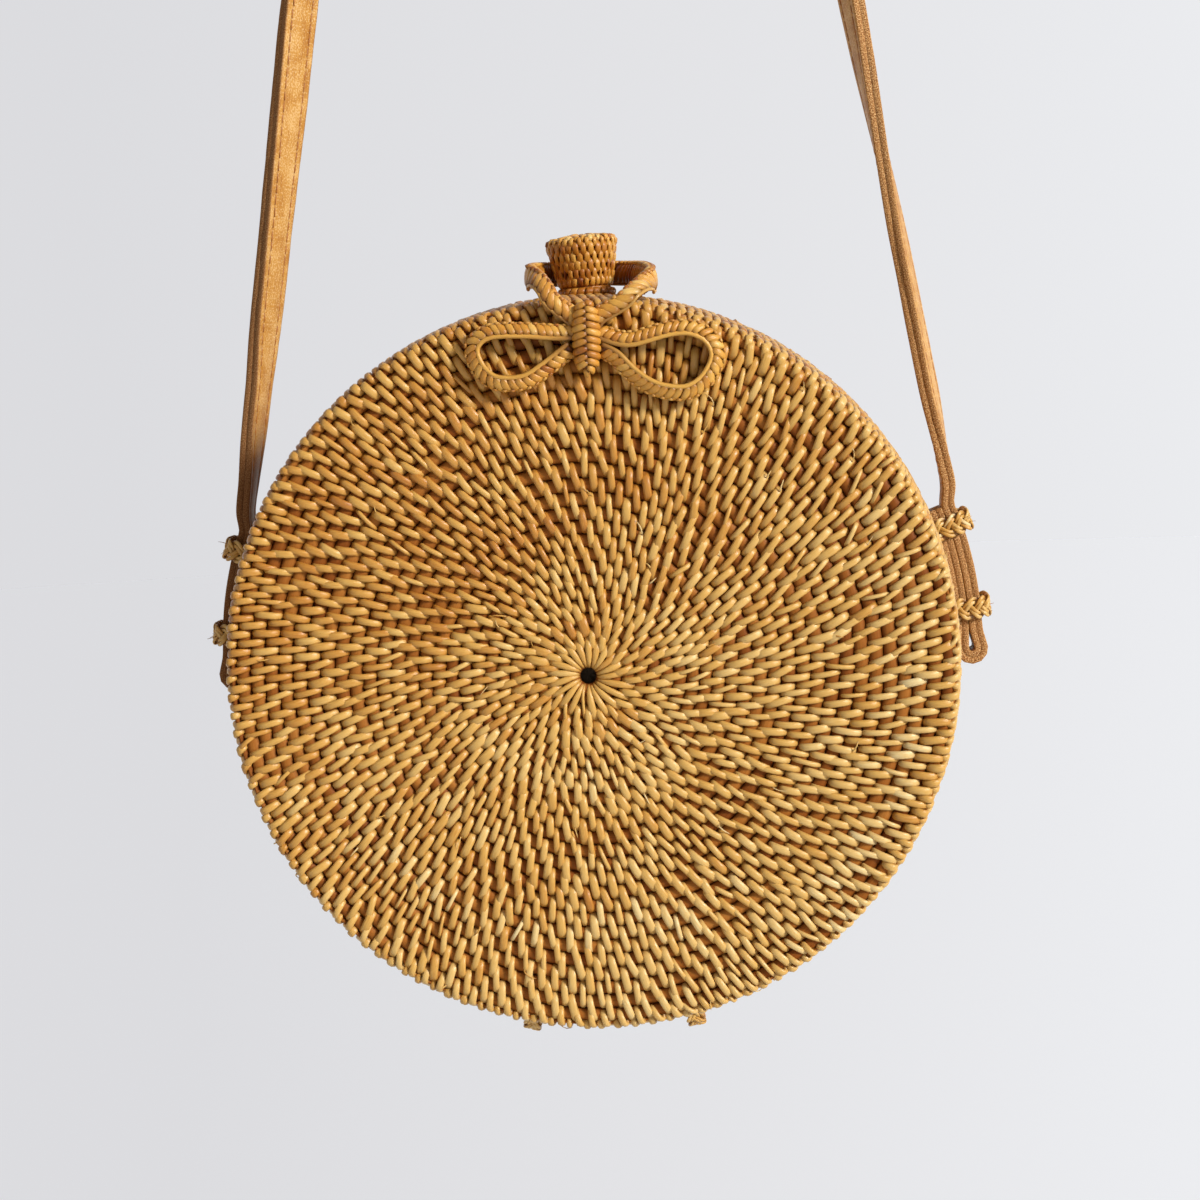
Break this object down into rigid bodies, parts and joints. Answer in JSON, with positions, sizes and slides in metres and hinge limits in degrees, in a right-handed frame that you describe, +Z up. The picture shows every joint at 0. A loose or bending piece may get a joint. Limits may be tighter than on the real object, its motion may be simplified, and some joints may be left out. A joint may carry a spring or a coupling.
{
  "type": "woven crossbody bag",
  "caption": "Round woven rattan crossbody bag with a hinged lid, a loop and knob closure under a small bow, and a long leather shoulder strap.",
  "frame": {"origin": "underside of the strap's highest point, halfway across its width, where a hook or a shoulder carries it", "axes": "+Z up along the hanging strap, -Y out of the bag's front face, +X to the bag's right as seen from the front"},
  "size_m": [0.2262, 0.0833, 0.659],
  "materials": {
    "weave": "fine coiled straw weave over rattan cores, golden, with brown shadows between stitches, satin",
    "plait": "plaited straw, a warmer gold than the body, satin",
    "leather": "tan split leather, smooth face, raw edges, stitched along both edges",
    "lining": "plain matt cotton"
  },
  "bodies": {
    "strap": {"strap_outer_leather": "leather", "strap_inner_leather": "leather"},
    "bag": {"back_face_weave": "weave", "back_wall_weave": "weave", "back_lining": "lining", "knob": "plait", "knob_base_ring": "plait", "strap_end_left": "leather", "strap_end_right": "leather", "upper_strap_tie_left": "plait", "upper_strap_tie_right": "plait", "lower_strap_tie_left": "plait", "lower_strap_tie_right": "plait", "hinge_tie_left": "plait", "hinge_tie_right": "plait"},
    "lid": {"front_face_weave": "weave", "front_wall_weave": "weave", "front_lining": "lining", "bow_knot": "plait", "bow_loop_left": "plait", "bow_loop_right": "plait"},
    "closure": {"closing_loop": "plait"}
  },
  "joints": [
    {"name": "strap_swing", "type": "hinge", "parent": "strap", "child": "bag", "pos_m": [0, 0, -0.5], "axis": [1, 0, 0], "range_deg": [-80, 80]},
    {"name": "lid_hinge", "type": "hinge", "parent": "bag", "child": "lid", "pos_m": [0, -0.0095, -0.6459], "axis": [1, 0, 0], "range_deg": [0, 100], "deforming": ["hinge_tie_left", "hinge_tie_right", "closing_loop"]},
    {"name": "closure_lift", "type": "hinge", "parent": "lid", "child": "closure", "pos_m": [0.0034, -0.0501, -0.4443], "axis": [1, 0, 0], "range_deg": [0, 150], "deforming": ["closing_loop"]}
  ]
}
